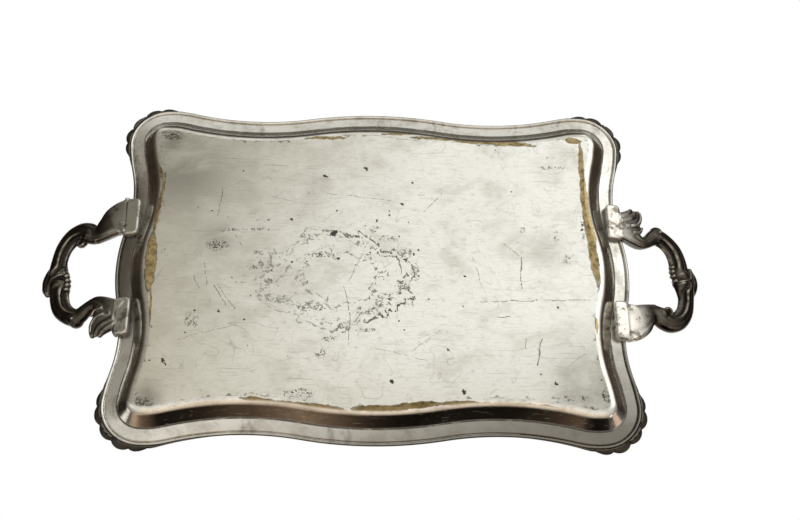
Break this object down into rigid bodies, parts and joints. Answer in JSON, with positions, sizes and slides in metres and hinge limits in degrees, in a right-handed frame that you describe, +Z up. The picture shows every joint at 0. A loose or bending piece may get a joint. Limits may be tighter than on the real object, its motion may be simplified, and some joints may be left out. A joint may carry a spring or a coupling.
{
  "type": "two-handled vanity tray",
  "caption": "Shallow oblong metal tray with a serpentine outline, rounded wall, narrow flange, lobed corner ornaments and raised scroll handles.",
  "frame": {"origin": "centre of the underside of the flat panel, on the surface the tray stands on", "axes": "+X through the right-hand handle along the length, +Y across the tray, +Z up out of the well"},
  "size_m": [0.6134, 0.3376, 0.0509],
  "materials": {
    "worn_plate": "worn silver plate over brass, satin, scratched",
    "tarnished_casting": "dark tarnished silver plate over cast brass, bright on the high points"
  },
  "bodies": {
    "root": {"tray_body": "worn_plate", "edge_wire": "worn_plate", "corner_mount_ne": "tarnished_casting", "corner_mount_nw": "tarnished_casting", "corner_mount_se": "tarnished_casting", "corner_mount_sw": "tarnished_casting", "handle_right": "tarnished_casting", "handle_left": "tarnished_casting"}
  },
  "joints": []
}
